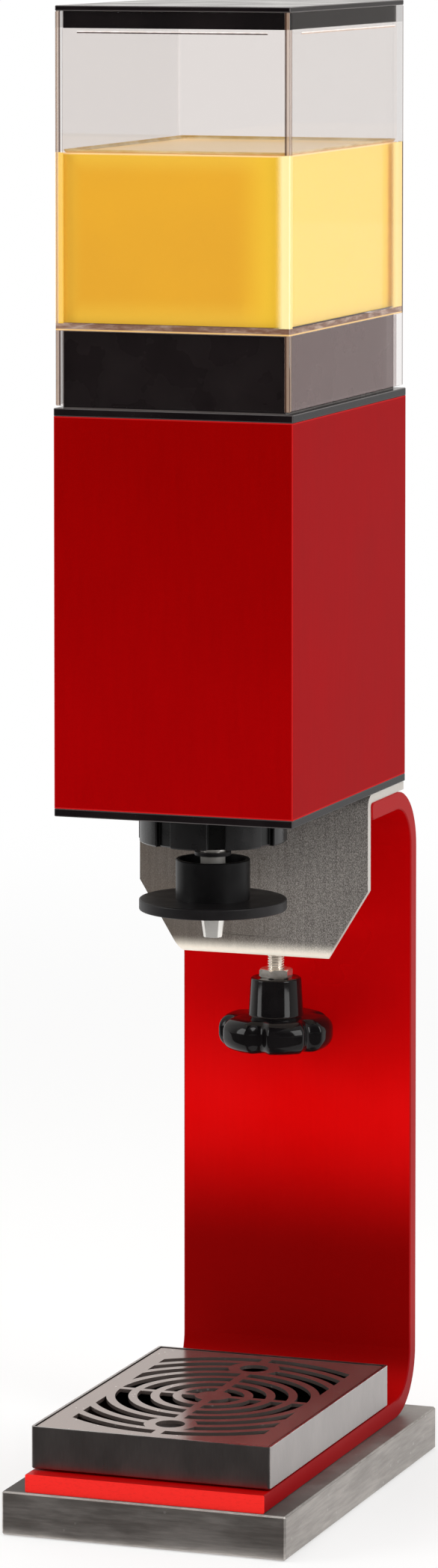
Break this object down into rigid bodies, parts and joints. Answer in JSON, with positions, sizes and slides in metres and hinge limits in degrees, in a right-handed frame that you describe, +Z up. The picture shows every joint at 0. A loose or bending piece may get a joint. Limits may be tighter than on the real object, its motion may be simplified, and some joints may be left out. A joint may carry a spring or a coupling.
{
  "type": "shot dispenser",
  "caption": "Countertop drink dispenser: clear tank over a red head with a push-up dosing nozzle, clamped to a bent flat-bar stand with a slotted drip tray.",
  "frame": {"origin": "middle of the object's bounding box in X and Y, on the surface that the rubber pads stand on", "axes": "+X to the right seen from the front, -Y towards the front (the tray side), +Z up"},
  "size_m": [0.166, 0.2676, 0.843],
  "materials": {
    "base_steel": "dark mottled raw steel",
    "red_paint": "satin brushed deep red",
    "rubber": "plain black rubber",
    "bright_steel": "bright zinc plated steel",
    "tray_black": "satin black",
    "grille_steel": "polished plain steel",
    "clamp_steel": "vertically brushed grey steel",
    "knob_black": "polished black",
    "ring_black": "polished black",
    "plate_black": "gloss black with a thin light edge",
    "plinth_black": "satin black",
    "clear_acrylic": "clear with brownish edges",
    "drink": "cloudy yellow drink",
    "valve_plastic": "natural food grade plastic",
    "valve_steel": "turned stainless steel",
    "tube_silicone": "translucent silicone",
    "disc_black": "satin black",
    "nozzle_chrome": "polished"
  },
  "bodies": {
    "stand": {"base_plate": "base_steel", "base_pads": "rubber", "foot_screws": "bright_steel", "stand_bar": "red_paint"},
    "tray": {"drip_tray": "tray_black", "tray_feet": "rubber"},
    "grille": {"tray_grille": "grille_steel"},
    "head": {"clamp_bracket": "clamp_steel", "flange_screws": "bright_steel", "backing_plate": "clamp_steel", "weld_nut": "bright_steel", "bottom_plate": "plate_black", "top_plate": "plate_black", "housing_shell": "red_paint", "corner_posts": "bright_steel", "bottom_plate_screws": "bright_steel", "top_plate_screws": "bright_steel", "plinth": "plinth_black", "plinth_screws": "bright_steel", "feed_socket": "valve_plastic", "feed_seal": "rubber", "feed_tube": "tube_silicone", "tube_clips": "bright_steel", "valve_body": "valve_plastic", "outlet_seal": "rubber", "chamber_seals": "rubber", "dosing_chamber": "clear_acrylic", "chamber_cap": "valve_plastic", "chamber_ties": "bright_steel", "vent_body": "valve_plastic", "vent_float": "valve_plastic", "return_spring": "bright_steel"},
    "tank": {"tank": "clear_acrylic", "outlet_washer": "rubber", "tank_outlet": "valve_steel", "outlet_nut": "valve_steel", "strainer": "valve_steel", "drink_fill": "drink"},
    "lid": {"lid_plate": "plate_black", "lid_plug": "plate_black"},
    "spindle": {"valve_spindle": "valve_steel", "inlet_plunger": "valve_steel", "inlet_seal": "rubber", "drip_collar": "disc_black", "push_hub": "disc_black", "push_disc": "disc_black", "nozzle": "nozzle_chrome"},
    "ring_washer": {"slip_ring": "valve_plastic"},
    "ring": {"ring_nut": "ring_black"},
    "pad": {"clamp_pad": "bright_steel"},
    "knob": {"clamp_screw": "bright_steel", "clamp_lock_nut": "bright_steel", "clamp_knob": "knob_black"}
  },
  "joints": [
    {"name": "head_slide", "type": "slide", "parent": "stand", "child": "head", "axis": [0, -1, 0], "range_m": [0, 0.06]},
    {"name": "tank_lift", "type": "slide", "parent": "head", "child": "tank", "axis": [0, 0, 1], "range_m": [0, 0.06]},
    {"name": "lid_lift", "type": "slide", "parent": "tank", "child": "lid", "axis": [0, 0, 1], "range_m": [0, 0.03]},
    {"name": "push_spindle", "type": "slide", "parent": "head", "child": "spindle", "axis": [0, 0, 1], "range_m": [0, 0.01], "stiffness_N_per_m": 700, "springref_m": -0.01, "deforming": ["return_spring"]},
    {"name": "ring_lower", "type": "slide", "parent": "head", "child": "ring_washer", "axis": [0, 0, -1], "range_m": [0, 0.0046]},
    {"name": "ring_turn", "type": "hinge", "parent": "ring_washer", "child": "ring", "pos_m": [0, -0.01975, 0.384], "axis": [0, 0, -1], "range_deg": [0, 540]},
    {"name": "pad_lower", "type": "slide", "parent": "head", "child": "pad", "axis": [0, 0, -1], "range_m": [0, 0.0541]},
    {"name": "knob_turn", "type": "hinge", "parent": "pad", "child": "knob", "pos_m": [0, 0.08725, 0.3], "axis": [0, 0, -1], "range_deg": [0, 12960]},
    {"name": "tray_lift", "type": "slide", "parent": "stand", "child": "tray", "axis": [0, 0, 1], "range_m": [0, 0.05]},
    {"name": "grille_lift", "type": "slide", "parent": "tray", "child": "grille", "axis": [0, 0, 1], "range_m": [0, 0.03]}
  ],
  "couplings": [
    {"joint": "ring_lower", "follows": "ring_turn", "m_per_rad": 0.00047746},
    {"joint": "pad_lower", "follows": "knob_turn", "m_per_rad": 0.00023873}
  ]
}
